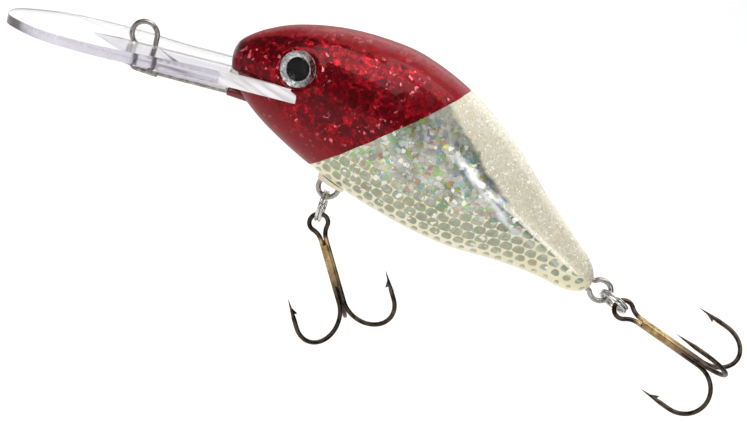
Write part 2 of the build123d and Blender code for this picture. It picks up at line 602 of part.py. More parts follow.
def build():
    harness = tube(harness_path(), WIRE_D / 2)
    harness_room = tube(harness_path(), WIRE_D / 2 + WIRE_CLEAR)
    hanger = tube(hanger_path(), WIRE_D / 2)
    lip = lip_blade() + lip_keel() - harness_room
    ballast = ballast_slug() - hanger

    foil_skin = half_body() - half_body(FOIL_THICK)
    slot = LIP_PLANE * Pos(LIP_LENGTH / 2 - SLOT_CLEAR, 0, 0) * Box(LIP_LENGTH, TRIM_SIZE,
                                                                    TANG_THICK + 2 * SLOT_CLEAR)
    foil_left = largest((foil_skin & foil_window()) - eye_seat(1) - slot)
    core = half_body() - slot - eye_seat(1) - foil_left - harness_room - hanger - ballast_slug()
    core -= extrude(LIP_PLANE * Pos(KEEL_START + LIP_LENGTH / 2, 0)
                    * Rectangle(LIP_LENGTH + SLOT_CLEAR, KEEL_WIDTH + 2 * WIRE_CLEAR),
                    KEEL_BOTTOM - WIRE_CLEAR)
    core = largest(core & Pos(0, TRIM_SIZE / 2 + GLUE_GAP, 0) * Box(2 * TRIM_SIZE, TRIM_SIZE, TRIM_SIZE))
    halves = {"body_left_half": core, "body_right_half": mirror(core, about=Plane.XZ)}

    parts = {
        **halves,
        "foil_left": foil_left,
        "foil_right": mirror(foil_left, about=Plane.XZ),
        "diving_lip": lip,
        "wire_harness": harness,
        "belly_hanger": hanger,
        "ballast_slug": ballast,
        "chin_bead": chin_bead(halves.values(), harness, lip),
        "belly_bead": belly_bead(halves.values(), hanger),
    }
    for side, name in ((1, "left"), (-1, "right")):
        foil, pupil, dome = eye_parts(side)
        parts |= {f"eye_foil_{name}": foil, f"eye_pupil_{name}": pupil, f"eye_dome_{name}": dome}
    pair, third, braze = hook_pair(), hook_third(), hook_braze()
    for name, ring_at, hook_at in (("belly", BELLY_RING_AT, BELLY_HOOK_AT),
                                   ("tail", TAIL_RING_AT, TAIL_HOOK_AT)):
        parts[f"{name}_split_ring"] = ring_at * split_ring()
        parts[f"{name}_hook_pair"] = hook_at * pair
        parts[f"{name}_hook_third"] = hook_at * third
        parts[f"{name}_hook_braze"] = hook_at * braze
    return parts


if __name__ == "__main__":
    os.makedirs("parts", exist_ok=True)
    for node, shape in build().items():
        export_step(Pos(*(-ORIGIN)) * shape, f"parts/{node}.step")
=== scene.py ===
"""Looks of a deep-diving crankbait lure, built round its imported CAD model. Metres, in the CAD frame."""
import json
import math
import bpy
from mathutils import Matrix, Vector


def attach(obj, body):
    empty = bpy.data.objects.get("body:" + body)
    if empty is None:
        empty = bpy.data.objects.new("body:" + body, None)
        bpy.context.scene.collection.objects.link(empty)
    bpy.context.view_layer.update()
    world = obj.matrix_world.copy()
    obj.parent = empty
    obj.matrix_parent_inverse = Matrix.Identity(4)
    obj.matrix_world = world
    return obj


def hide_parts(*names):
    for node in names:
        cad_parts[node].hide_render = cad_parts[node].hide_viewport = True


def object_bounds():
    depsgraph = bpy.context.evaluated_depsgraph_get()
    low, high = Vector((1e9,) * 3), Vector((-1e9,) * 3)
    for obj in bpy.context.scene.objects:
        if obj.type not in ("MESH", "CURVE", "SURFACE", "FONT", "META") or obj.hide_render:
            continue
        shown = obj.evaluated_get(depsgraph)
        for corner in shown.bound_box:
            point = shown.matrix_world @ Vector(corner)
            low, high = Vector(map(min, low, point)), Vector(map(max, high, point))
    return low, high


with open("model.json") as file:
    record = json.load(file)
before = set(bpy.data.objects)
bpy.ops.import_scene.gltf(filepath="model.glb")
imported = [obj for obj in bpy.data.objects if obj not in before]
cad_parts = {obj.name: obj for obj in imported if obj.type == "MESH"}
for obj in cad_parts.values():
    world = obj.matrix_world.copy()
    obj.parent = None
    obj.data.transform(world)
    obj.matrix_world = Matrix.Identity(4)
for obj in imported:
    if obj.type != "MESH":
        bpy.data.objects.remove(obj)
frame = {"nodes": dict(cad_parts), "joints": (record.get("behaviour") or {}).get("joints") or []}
cad_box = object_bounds()

# ---- Lure body --------------------------------------------------------------------------------------------
# Balsa, shaped and sanded in two halves, glued round the wire and sealed. Crackled holographic foil is laid
# on each flank, then cream lacquer, a stencilled scale net, a translucent red head and a thick clear coat.
MM = 0.001
TAIL_HANGER = next(j for j in frame["joints"] if j["name"] == "tail_ring_swing")
TAIL_LOOP_FROM_NOSE = Vector((82.0, 0.0, -0.6))
NOSE_DATUM = Vector(TAIL_HANGER["pos_m"]) - TAIL_LOOP_FROM_NOSE * MM

NOSE_X, BODY_LENGTH, NOSE_Z, TAIL_Z = -0.8, 80.8, 3.2, -0.6
BACK_LINE = [(0.3, 6.0), (3.0, 9.2), (7.0, 12.5), (15.5, 16.9), (24.0, 19.4), (31.0, 20.3), (41.5, 19.2),
             (53.0, 15.4), (64.5, 9.5), (73.0, 5.5), (78.0, 2.9)]
BELLY_LINE = [(0.2, -0.1), (2.5, -2.9), (5.0, -4.4), (10.0, -6.4), (16.0, -7.9), (24.0, -9.2), (34.0, -10.0),
              (44.0, -9.9), (53.0, -8.8), (62.0, -6.3), (70.0, -4.7), (75.5, -4.2), (78.8, -2.9)]
HALF_WIDTH = [(0.3, 4.1), (3.0, 5.9), (7.0, 7.3), (14.0, 8.9), (22.0, 10.1), (32.0, 10.6), (42.0, 10.1),
              (52.0, 8.8), (62.0, 6.6), (70.0, 4.6), (75.5, 3.4), (78.5, 2.3)]
STATIONS, GIRTH_POINTS = 220, 80
EYE_CENTRE, EYE_YAW, EYE_SINK, EYE_R = (11.9, 7.1), 13.0, 0.9, 3.5
BROW_RISE, BROW_R, BROW_SPREAD = 0.28, 4.15, 0.5
SKIN_SHRINK = 0.03
SEAT_DEPTH, SEAT_BLEND, SEAT_REACH = 0.1, (-0.25, 0.3), 3.0
UV_SCALE = 100.0


def station(x):
    return math.acos(max(-1.0, min(1.0, 1 - 2 * (x - NOSE_X) / BODY_LENGTH)))


def smooth(points, x):
    ts = [station(px) for px, _ in points]
    vs = [v for _, v in points]
    t = station(x)
    i = max(0, min(len(ts) - 2, sum(1 for k in ts if k <= t) - 1))
    slopes = [(vs[min(k + 1, len(vs) - 1)] - vs[max(k - 1, 0)])
              / (ts[min(k + 1, len(ts) - 1)] - ts[max(k - 1, 0)]) for k in (i, i + 1)]
    h = ts[i + 1] - ts[i]
    u = (t - ts[i]) / h
    return ((2 * u**3 - 3 * u**2 + 1) * vs[i] + (u**3 - 2 * u**2 + u) * h * slopes[0]
            + (3 * u**2 - 2 * u**3) * vs[i + 1] + (u**3 - u**2) * h * slopes[1])


def ramp(x, low, high):
    u = max(0.0, min(1.0, (x - low) / (high - low)))
    return u * u * (3 - 2 * u)


def half_width(x):
    return smooth([(NOSE_X, 0.0)] + HALF_WIDTH + [(NOSE_X + BODY_LENGTH, 0.0)], x)


def girth(x, turns):
    """(y, z) round the left half of the body at x, from the back (turn 0) to the belly (turn pi)."""
    back = smooth([(NOSE_X, NOSE_Z)] + BACK_LINE + [(NOSE_X + BODY_LENGTH, TAIL_Z)], x)
    belly = smooth([(NOSE_X, NOSE_Z)] + BELLY_LINE + [(NOSE_X + BODY_LENGTH, TAIL_Z)], x)
    share = 0.50 + 0.08 * ramp(x, 15, 45) - 0.08 * ramp(x, 55, 80)
    power = 2 / (2.15 - 0.53 * ramp(x, 25, 55))
    middle = belly + share * (back - belly)
    high, low = back - middle - SKIN_SHRINK, belly - middle + SKIN_SHRINK
    return [(max(half_width(x) - SKIN_SHRINK, 0.0) * abs(math.sin(t)) ** power,
             middle + (high if t < math.pi / 2 else low) * abs(math.cos(t)) ** power) for t in turns]


def eye_seat(side):
    """(centre, outward normal) of an eye's seat; side is 1 for the left eye and -1 for the right one."""
    yaw = math.radians(EYE_YAW)
    centre = Vector((EYE_CENTRE[0], side * (half_width(EYE_CENTRE[0]) - EYE_SINK), EYE_CENTRE[1]))
    return centre, Vector((-math.sin(yaw), side * math.cos(yaw), 0))


def socket(point, side):
    """Sinks the skin under the eye and raises a soft brow round it."""
    centre, out = eye_seat(side)
    height = (point - centre).dot(out)
    reach = (point - centre - out * height).length
    if height < -SEAT_REACH or reach > EYE_R + SEAT_REACH:
        return point
    brow = BROW_RISE * math.exp(-((reach - BROW_R) / BROW_SPREAD) ** 2)
    sunk = ramp(reach, EYE_R + SEAT_BLEND[0], EYE_R + SEAT_BLEND[1])
    return point + out * ((height + brow) * sunk - SEAT_DEPTH * (1 - sunk) - height)


def mesh_object(name, points, faces, shade_smooth=True):
    mesh = bpy.data.meshes.new(name)
    mesh.from_pydata([tuple(p) for p in points], [], faces)
    mesh.validate()
    if shade_smooth:
        mesh.shade_smooth()
    obj = bpy.data.objects.new(name, mesh)
    bpy.context.scene.collection.objects.link(obj)
    return obj


def body_mesh():
    turns = [math.pi * k / GIRTH_POINTS for k in range(GIRTH_POINTS + 1)]
    rows, heights, shares = [], [], []
    for i in range(1, STATIONS):
        angle = math.pi * i / STATIONS
        x = NOSE_X + BODY_LENGTH * (1 - math.cos(angle)) / 2
        half = girth(x, turns)
        over_belly = [z - half[-1][1] for _, z in half]
        ring = [(x, y, z, over_belly[k], turns[k] / math.pi, 1) for k, (y, z) in enumerate(half)]
        ring += [(x, -half[k][0], half[k][1], over_belly[k], turns[k] / math.pi, -1)
                 for k in range(GIRTH_POINTS - 1, 0, -1)]
        rows.append([socket(Vector(p[:3]), p[5]) for p in ring])
        heights.append([(p[0], p[3]) for p in ring])
        shares.append([(p[0], p[4]) for p in ring])
    count = 2 * GIRTH_POINTS
    points = [p for row in rows for p in row]
    flat_heights = [h for row in heights for h in row]
    flat_shares = [s for row in shares for s in row]
    for end_x, end_z in ((NOSE_X, NOSE_Z), (NOSE_X + BODY_LENGTH, TAIL_Z)):
        points.append(Vector((end_x, 0, end_z)))
        flat_heights.append((end_x, 0.0))
        flat_shares.append((end_x, 0.5))
    faces = []
    for r in range(len(rows) - 1):
        for k in range(count):
            n = (k + 1) % count
            faces.append((r * count + k, r * count + n, (r + 1) * count + n, (r + 1) * count + k))
    last = (len(rows) - 1) * count
    for k in range(count):
        n = (k + 1) % count
        faces.append((len(points) - 2, n, k))
        faces.append((len(points) - 1, last + k, last + n))
    obj = mesh_object("painted_body", [NOSE_DATUM + p * MM for p in points], faces)
    for name, values in (("height", flat_heights), ("share", flat_shares)):
        layer = obj.data.uv_layers.new(name=name)
        for loop in obj.data.loops:
            layer.data[loop.index].uv = [v / UV_SCALE for v in values[loop.vertex_index]]
    return obj


class Nodes:
    """Shorthand for one node tree: call it with a node type, its inputs by name or number, and settings."""

    def __init__(self, tree):
        self.tree = tree

    def __call__(self, kind, values=None, **settings):
        made = self.tree.nodes.new("ShaderNode" + kind)
        for key, value in settings.items():
            setattr(made, key, value)
        for key, value in (values or {}).items():
            if isinstance(value, bpy.types.NodeSocket):
                self.tree.links.new(value, made.inputs[key])
            else:
                made.inputs[key].default_value = value
        return made

    def math(self, operation, a, b=0.0):
        return self("Math", {0: a, 1: b}, operation=operation).outputs[0]

    def mix(self, share, a, b, blend="MIX"):
        made = self("Mix", {0: share, 6: a, 7: b}, data_type="RGBA", blend_type=blend)
        return made.outputs[2]

    def step(self, value, low, high):
        """0 under low, 1 over high, smooth between; low may be the larger one."""
        return self("MapRange", {"Value": value, "From Min": low, "From Max": high},
                    interpolation_type="SMOOTHSTEP").outputs[0]

    def span(self, value, low, high, at_low, at_high):
        """Straight line from at_low (value at low) to at_high (value at high), held level outside."""
        return self("MapRange", {"Value": value, "From Min": low, "From Max": high, "To Min": at_low,
                                 "To Max": at_high}).outputs[0]

    def split(self, vector):
        return self("SeparateXYZ", {0: vector}).outputs


def material(name):
    made = bpy.data.materials.new(name)
    made.use_nodes = True
    made.node_tree.nodes.clear()
    n = Nodes(made.node_tree)
    shader = n("BsdfPrincipled")
    output = n("OutputMaterial", {"Surface": shader.outputs[0]})
    output.location = (300, 0)
    return made, n, shader


def group(name, inputs, outputs):
    tree = bpy.data.node_groups.new(name, "ShaderNodeTree")
    for socket_name, kind, value in inputs:
        made = tree.interface.new_socket(name=socket_name, in_out="INPUT", socket_type="NodeSocket" + kind)
        if value is not None:
            made.default_value = value
    for socket_name, kind in outputs:
        tree.interface.new_socket(name=socket_name, in_out="OUTPUT", socket_type="NodeSocket" + kind)
    n = Nodes(tree)
    return tree, n, tree.nodes.new("NodeGroupInput").outputs, tree.nodes.new("NodeGroupOutput")


def datum_mm(n):
    """Position in millimetres from the nose datum."""
    position = n("TexCoord").outputs["Object"]
    shifted = n("VectorMath", {0: position, 1: tuple(-c for c in NOSE_DATUM)}, operation="ADD").outputs[0]
    return n("VectorMath", {0: shifted, 3: 1000.0}, operation="SCALE").outputs[0]


# A flake breaks into shards this many times smaller. Hues run from red to blue, without violet or magenta.
SHARD_RATIO, HUE_FROM, HUE_ROUND = 2.3, 0.97, 0.72


def flake_group():
    """Crackled holographic foil: shards of random tilt, brightness and hue."""
    tree, n, given, out = group(
        "crackle_foil",
        [("Position", "Vector", None), ("Flake", "Float", 1.0), ("Dark", "Float", 0.2),
         ("Bright", "Float", 0.8), ("Hue Spread", "Float", 0.3), ("Tilt", "Float", 0.3)],
        [("Color", "Color"), ("Normal", "Vector"), ("Spark", "Float")])
    scale = n.math("DIVIDE", 1.0, given["Flake"])
    wander = n("TexNoise", {"Vector": given["Position"], "Scale": 0.8, "Detail": 2.0}).outputs["Color"]
    warped = n("VectorMath", {0: wander, 3: 1.2}, operation="SCALE").outputs[0]
    place = n("VectorMath", {0: given["Position"], 1: warped}, operation="ADD").outputs[0]
    finer = n.math("MULTIPLY", scale, SHARD_RATIO)
    coarse = n("TexVoronoi", {"Vector": place, "Scale": scale}, feature="F1", distance="CHEBYCHEV")
    fine = n("TexVoronoi", {"Vector": place, "Scale": finer}, feature="F1", distance="CHEBYCHEV")
    edge = n("TexVoronoi", {"Vector": place, "Scale": finer}, feature="DISTANCE_TO_EDGE")
    big, small = n.split(coarse.outputs["Color"]), n.split(fine.outputs["Color"])
    level = n.math("ADD", n.math("MULTIPLY", big[0], 0.45), n.math("MULTIPLY", small[0], 0.55))
    value = n.span(level, 0.15, 0.85, given["Dark"], given["Bright"])
    mixed = n.math("FRACT", n.math("ADD", big[1], small[2]))
    hue = n.math("FRACT", n.math("ADD", n.math("MULTIPLY", mixed, HUE_ROUND), HUE_FROM))
    coloured = n.step(small[1], 0.50, 0.85)
    strength = n.math("MULTIPLY", coloured, given["Hue Spread"])
    shard = n("CombineColor", {0: hue, 1: strength, 2: value}, mode="HSV").outputs[0]
    crack = n.step(edge.outputs["Distance"], 0.0, 0.09)
    lit = n.mix(1.0, shard, n.mix(crack, (0.55, 0.55, 0.55, 1), (1, 1, 1, 1)), "MULTIPLY")
    spark = n.math("MULTIPLY", n.step(small[2], 0.91, 0.95), crack)
    lean = n("VectorMath", {0: coarse.outputs["Color"], 1: fine.outputs["Color"]}, operation="ADD").outputs[0]
    centred = n("VectorMath", {0: lean, 1: (1.0, 1.0, 1.0)}, operation="SUBTRACT").outputs[0]
    tilted = n("VectorMath", {0: centred, 3: given["Tilt"]}, operation="SCALE").outputs[0]
    summed = n("VectorMath", {0: n("NewGeometry").outputs["Normal"], 1: tilted}, operation="ADD").outputs[0]
    normal = n("VectorMath", {0: summed}, operation="NORMALIZE").outputs[0]
    for name, value in (("Color", lit), ("Normal", normal), ("Spark", spark)):
        tree.links.new(value, out.inputs[name])
    return tree


FLAKES = flake_group()


def flakes(n, position, flake, dark, bright, hue, tilt):
    made = n("Group", node_tree=FLAKES)
    for name, value in (("Position", position), ("Flake", flake), ("Dark", dark), ("Bright", bright),
                        ("Hue Spread", hue), ("Tilt", tilt)):
        if isinstance(value, bpy.types.NodeSocket):
            n.tree.links.new(value, made.inputs[name])
        else:
            made.inputs[name].default_value = value
    return made.outputs


FLANK_FLAKE, PEARL_FLAKE, RED_FLAKE = 2.1, 0.7, 1.5
NET_ROW, NET_COLUMN, NET_EDGE = 1.85, 2.35, 0.045
NET_FADE = (11.0, 14.5)
# Each span is (from, to, value at from, value at to), in millimetres along the body or over the belly line.
BACK_EDGE = (38.0, 62.0, 0.22, 0.46)
WINDOW_GROWS, WINDOW_OPENS = (0.6, 4.0, 0.30, 0.53), (8.0, 14.0, 0.0, 0.30)
WINDOW_SHRINKS = (60.0, 78.0, 0.0, -0.12)
THROAT_SHARE, BACK_SHARE, HEAD_SOFT = (0.60, 0.72), (0.21, 0.19), 0.06
BODY_METAL, BODY_ROUGH, BODY_COAT = 0.62, (0.48, 0.30), (0.55, 0.16)
HEAD_EDGE_X, HEAD_EDGE_Z, HEAD_EDGE_SLOPE = 22.6, -8.4, 0.682
CREAM_DARK, CREAM_LIGHT = (0.72, 0.66, 0.45, 1), (0.80, 0.75, 0.55, 1)
PEARL, PEARL_SPARK = (0.74, 0.65, 0.42, 1), (0.95, 0.95, 0.88, 1)
FOIL_OLIVE, FOIL_STRAW = (0.24, 0.26, 0.13, 1), (0.60, 0.56, 0.38, 1)
# The first of these is painted shade, a dark reflection in the crease. The second is a painted highlight on
# the ridge.
FOIL_DARK_REFLECTION, FOIL_PAINTED_HIGHLIGHT, FOIL_SPARK = (0.04, 0.06, 0.07, 1), (0.88, 0.90, 0.98, 1), (1.0, 1.0, 0.92, 1)
WINDOW_TINT = (0.27, 0.29, 0.18, 1)
RED_RAMP = ((0.0, (0.07, 0.0, 0.002, 1)), (0.45, (0.12, 0.0, 0.003, 1)), (0.75, (0.27, 0.001, 0.007, 1)),
            (1.0, (0.55, 0.004, 0.016, 1)))
RED_SPARK, THROAT_RED, BACK_RED = (0.95, 0.22, 0.25, 1), (0.20, 0.001, 0.004, 1), (0.26, 0.002, 0.007, 1)


def body_paint():
    made, n, shader = material("lacquered_foil_body")
    place = datum_mm(n)
    x, _, z = n.split(place)
    height_map = n("UVMap", uv_map="height").outputs[0]
    on_side = n("VectorMath", {0: height_map, 3: UV_SCALE}, operation="SCALE").outputs[0]
    along, from_belly, _ = n.split(on_side)
    share = n.math("MULTIPLY", n.split(n("UVMap", uv_map="share").outputs[0])[1], UV_SCALE)
    wobble = n("TexNoise", {"Vector": place, "Scale": 0.35, "Detail": 3.0}).outputs[0]
    drift = n.math("SUBTRACT", wobble, 0.5)

    silver = flakes(n, place, FLANK_FLAKE, 0.25, 0.68, 0.80, 0.08)
    fine = flakes(n, place, PEARL_FLAKE, 0.34, 0.92, 0.30, 0.22)
    cloud = n.step(n("TexNoise", {"Vector": place, "Scale": 0.22, "Detail": 4.0}).outputs[0], 0.35, 0.7)
    cream = n.mix(cloud, CREAM_DARK, CREAM_LIGHT)

    # The back is fine pearl glitter in cream lacquer.
    pearl = n.mix(0.55, fine["Color"], PEARL)
    pearl = n.mix(fine["Spark"], pearl, PEARL_SPARK)
    edge_share = n.math("ADD", n.span(along, *BACK_EDGE), n.math("MULTIPLY", drift, 0.10))
    back_part = n.step(n.math("SUBTRACT", edge_share, share), -0.02, 0.03)

    # The scale net: staggered foil windows in the cream, larger up the flank.
    row = n.math("DIVIDE", from_belly, NET_ROW)
    odd = n.math("MULTIPLY", n.math("MODULO", n.math("FLOOR", row), 2.0), 0.5)
    column = n.math("ADD", n.math("DIVIDE", along, NET_COLUMN), odd)
    u = n.math("SUBTRACT", n.math("FRACT", column), 0.5)
    v = n.math("SUBTRACT", n.math("FRACT", row), 0.5)
    bowed = n.math("ADD", v, n.math("MULTIPLY", n.math("MULTIPLY", u, u), 0.9))
    bowed = n.math("SUBTRACT", bowed, 0.08)
    radius = n.math("SQRT", n.math("ADD", n.math("MULTIPLY", n.math("MULTIPLY", u, u), 1.2),
                                   n.math("MULTIPLY", n.math("MULTIPLY", bowed, bowed), 0.85)))
    blotch = n("TexNoise", {"Vector": place, "Scale": 0.9}).outputs[0]
    uneven = n.math("MULTIPLY", n.math("SUBTRACT", blotch, 0.5), 0.16)
    window = n.math("ADD", n.span(from_belly, *WINDOW_GROWS), uneven)
    window = n.math("ADD", window, n.span(from_belly, *WINDOW_OPENS))
    window = n.math("ADD", window, n.span(along, *WINDOW_SHRINKS))
    open_net = n.step(n.math("SUBTRACT", window, radius), -NET_EDGE, NET_EDGE)
    open_net = n.math("MULTIPLY", open_net, n.step(from_belly, 0.4, 1.5))
    above_net = n.step(from_belly, *NET_FADE)

    # Over the net the foil lies open. Along the edge of the back the crease gets a painted dark reflection,
    # and the ridge just below it gets a painted highlight.
    broad = n("TexNoise", {"Vector": place, "Scale": 0.16, "Detail": 2.0}).outputs[0]
    foil = n.mix(0.34, silver["Color"], n.mix(n.step(broad, 0.36, 0.62), FOIL_OLIVE, FOIL_STRAW))
    below = n.math("SUBTRACT", share, edge_share)
    # Painted shade: the band just under the edge of the back is darkened, as if the crease there reflected
    # dark surroundings.
    painted_dark_band = n.math("MULTIPLY", n.step(below, 0.085, 0.0), n.step(along, 44.0, 52.0))
    foil = n.mix(n.math("MULTIPLY", painted_dark_band, 0.72), foil, FOIL_DARK_REFLECTION)
    # Painted highlight: a bright line a little lower, along the ridge, as if it caught the light.
    painted_highlight = n.math("MULTIPLY", n.step(below, 0.075, 0.105), n.step(below, 0.15, 0.115))
    painted_highlight = n.math("MULTIPLY", painted_highlight, n.step(along, 40.0, 50.0))
    foil = n.mix(n.math("MULTIPLY", painted_highlight, 0.55), foil, FOIL_PAINTED_HIGHLIGHT)
    in_window = n.mix(n.step(from_belly, 11.0, 5.5), foil, n.mix(0.65, foil, WINDOW_TINT))
    flank = n.mix(open_net, cream, in_window)
    flank = n.mix(above_net, flank, foil)
    flank = n.mix(n.math("MULTIPLY", silver["Spark"], 0.6), flank, n.mix(open_net, flank, FOIL_SPARK))
    painted = n.mix(back_part, flank, pearl)

    # The head: translucent red over the same foil, with a plainer throat.
    line = n.math("ADD", n.math("MULTIPLY", n.math("ADD", z, -HEAD_EDGE_Z), HEAD_EDGE_SLOPE), HEAD_EDGE_X)
    line = n.math("ADD", line, n.math("MULTIPLY", drift, 0.5))
    head = n.step(n.math("SUBTRACT", line, x), -HEAD_SOFT, HEAD_SOFT)
    red_foil = flakes(n, place, RED_FLAKE, 0.05, 0.92, 0.0, 0.15)
    glow = n("SeparateColor", {0: red_foil["Color"]}).outputs[0]
    red = n("ValToRGB", {0: glow})
    stops = red.color_ramp.elements
    stops[0].position, stops[0].color = RED_RAMP[0]
    stops[1].position, stops[1].color = RED_RAMP[-1]
    for at, colour in RED_RAMP[1:-1]:
        stops.new(at).color = colour
    sparks = n.math("MULTIPLY", red_foil["Spark"], n.math("MULTIPLY", n.step(cloud, 0.25, 0.6), 0.75))
    reds = n.mix(sparks, red.outputs[0], RED_SPARK)
    throat = n.math("MULTIPLY", n.step(share, *THROAT_SHARE), 0.8)
    wavy_share = n.math("ADD", share, n.math("MULTIPLY", drift, 0.12))
    back_haze = n.math("MULTIPLY", n.step(wavy_share, *BACK_SHARE), 0.75)
    reds = n.mix(throat, reds, THROAT_RED)
    reds = n.mix(back_haze, reds, BACK_RED)
    colour = n.mix(head, painted, reds)

    off_back = n.math("SUBTRACT", 1.0, back_part)
    in_net, over_net = n.math("MULTIPLY", off_back, open_net), n.math("MULTIPLY", above_net, off_back)
    foil_part = n.math("MAXIMUM", in_net, over_net)
    head_foil = n.math("MULTIPLY", n.math("SUBTRACT", 1.0, throat), n.math("SUBTRACT", 1.0, back_haze))
    cold_metal = n.math("MAXIMUM", foil_part, n.math("MULTIPLY", back_part, 0.35))
    metal = n("Mix", {0: head, 2: cold_metal, 3: head_foil}, data_type="FLOAT").outputs[0]
    plain = n("NewGeometry").outputs["Normal"]
    cold = n("Mix", {0: back_part, 4: silver["Normal"], 5: fine["Normal"]}, data_type="VECTOR").outputs[1]
    tilted = n("Mix", {0: head, 4: cold, 5: red_foil["Normal"]}, data_type="VECTOR").outputs[1]
    normal = n("Mix", {0: n.math("MAXIMUM", metal, n.math("MULTIPLY", back_part, 0.8)), 4: plain, 5: tilted},
               data_type="VECTOR").outputs[1]
    tree = made.node_tree
    tree.links.new(colour, shader.inputs["Base Color"])
    tree.links.new(n.math("MULTIPLY", metal, BODY_METAL), shader.inputs["Metallic"])
    tree.links.new(n.span(metal, 0.0, 1.0, *BODY_ROUGH), shader.inputs["Roughness"])
    tree.links.new(normal, shader.inputs["Normal"])
    tree.links.new(n.span(head, 0.0, 1.0, *BODY_COAT), shader.inputs["Coat Weight"])
    shader.inputs["Specular IOR Level"].default_value = 0.15
    shader.inputs["Coat Roughness"].default_value = 0.06
    shader.inputs["Coat IOR"].default_value = 1.5
    return made


body = body_mesh()
body.data.materials.append(body_paint())
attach(body, "lure_body")
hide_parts("body_left_half", "body_right_half", "foil_left", "foil_right")


# ---- Eyes -------------------------------------------------------------------------------------------------
# Stick-on eyes: a silver holographic disc with a printed black pupil, under a clear domed cap that is glued
# into a shallow seat in each side of the head.
def repaint(node, made):
    obj = frame["nodes"][node]
    obj.data.materials.clear()
    obj.data.materials.append(made)
    return obj


EYE_FLAKE = 0.45


def eye_foil_paint():
    made, n, shader = material("eye_foil")
    place = datum_mm(n)
    foil = flakes(n, place, EYE_FLAKE, 0.30, 0.95, 0.25, 0.28)
    made.node_tree.links.new(foil["Color"], shader.inputs["Base Color"])
    made.node_tree.links.new(foil["Normal"], shader.inputs["Normal"])
    shader.inputs["Metallic"].default_value = 0.9
    shader.inputs["Roughness"].default_value = 0.32
    return made


def plain_gloss(name, colour, roughness):
    made, _, shader = material(name)
    shader.inputs["Base Color"].default_value = colour
    shader.inputs["Roughness"].default_value = roughness
    return made


def clear_plastic(name, ior):
    made, _, shader = material(name)
    shader.inputs["Base Color"].default_value = (1.0, 1.0, 1.0, 1)
    shader.inputs["Roughness"].default_value = 0.0
    shader.inputs["IOR"].default_value = ior
    shader.inputs["Transmission Weight"].default_value = 1.0
    return made


EYE_FOIL = eye_foil_paint()
PUPIL = plain_gloss("pupil_ink", (0.002, 0.002, 0.002, 1), 0.6)
PUPIL.node_tree.nodes["Principled BSDF"].inputs["Specular IOR Level"].default_value = 0.0
DOME = clear_plastic("clear_dome", 1.22)
DOME_R, DOME_BASE, DOME_RIM, DOME_RISE = EYE_R * 0.995, 0.46, 0.70, 1.15
DOME_STEPS, DOME_SPOKES = 14, 64


def dome_mesh(name, side):
    """A clear cap with a low straight rim, closed underneath."""
    centre, out = eye_seat(side)
    across = Vector((0, 0, 1))
    along = out.cross(across)
    levels = [(DOME_R, DOME_BASE), (DOME_R, DOME_RIM)]
    ball = (EYE_R**2 + DOME_RISE**2) / (2 * DOME_RISE)
    for k in range(1, DOME_STEPS):
        r = DOME_R * math.cos(math.pi / 2 * k / DOME_STEPS)
        levels.append((r, DOME_RIM + math.sqrt(ball**2 - r**2) - (ball - DOME_RISE)))
    points, faces = [], []
    for r, h in levels:
        for k in range(DOME_SPOKES):
            a = 2 * math.pi * k / DOME_SPOKES
            points.append(centre + out * h + across * (r * math.cos(a)) + along * (r * math.sin(a)))
    points.append(centre + out * (DOME_RIM + DOME_RISE))
    points.append(centre + out * DOME_BASE)
    last = (len(levels) - 1) * DOME_SPOKES
    for k in range(DOME_SPOKES):
        n = (k + 1) % DOME_SPOKES
        for row in range(len(levels) - 1):
            faces.append((row * DOME_SPOKES + k, row * DOME_SPOKES + n, (row + 1) * DOME_SPOKES + n,
                          (row + 1) * DOME_SPOKES + k))
        faces.append((last + k, last + n, len(points) - 2))
        faces.append((len(points) - 1, n, k))
    if side > 0:
        faces = [tuple(reversed(f)) for f in faces]
    return mesh_object(name, [NOSE_DATUM + p * MM for p in points], faces)


for side, name in ((1, "left"), (-1, "right")):
    repaint(f"eye_foil_{name}", EYE_FOIL)
    repaint(f"eye_pupil_{name}", PUPIL)
    cap = dome_mesh(f"eye_cap_{name}", side)
    cap.data.materials.append(DOME)
    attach(cap, "lure_body")
    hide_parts(f"eye_dome_{name}")

# ---- Diving lip -------------------------------------------------------------------------------------------
# Clear polycarbonate, moulded with a rib that carries the wire. Its tang is glued in a slot sawn in the head,
# and its edges are left as they came from the mould, softly rounded.
LIP_EDGE, LIP_DIVE = 0.35, math.radians(17.5)
# The second colour tints the lip's side faces and is painted shade.
LIP_CLEAR, LIP_SIDE_SHADE, LIP_SIDE_ROUGH = (0.985, 0.985, 0.99, 1), (0.66, 0.63, 0.70, 1), 0.22


def polycarbonate():
    made = clear_plastic("clear_polycarbonate", 1.50)
    n, shader = Nodes(made.node_tree), made.node_tree.nodes["Principled BSDF"]
    above = (-math.sin(LIP_DIVE), 0, math.cos(LIP_DIVE))
    facing = n("VectorMath", {0: n("NewGeometry").outputs["Normal"], 1: above},
               operation="DOT_PRODUCT").outputs["Value"]
    # The side faces get a grey-violet tint, painted shade for the dark edges that refraction gives a clear
    # blade. They are also made rougher.
    side = n.step(n.math("ABSOLUTE", facing), 0.75, 0.35)
    made.node_tree.links.new(n.mix(side, LIP_CLEAR, LIP_SIDE_SHADE), shader.inputs["Base Color"])
    made.node_tree.links.new(n.math("MULTIPLY", side, LIP_SIDE_ROUGH), shader.inputs["Roughness"])
    return made


lip = repaint("diving_lip", polycarbonate())
weld = lip.modifiers.new("weld", "WELD")
weld.merge_threshold = 1e-6
rim = lip.modifiers.new("rim", "BEVEL")
rim.width, rim.segments, rim.limit_method, rim.angle_limit = LIP_EDGE * MM, 3, "ANGLE", math.radians(50)
rim.harden_normals = False

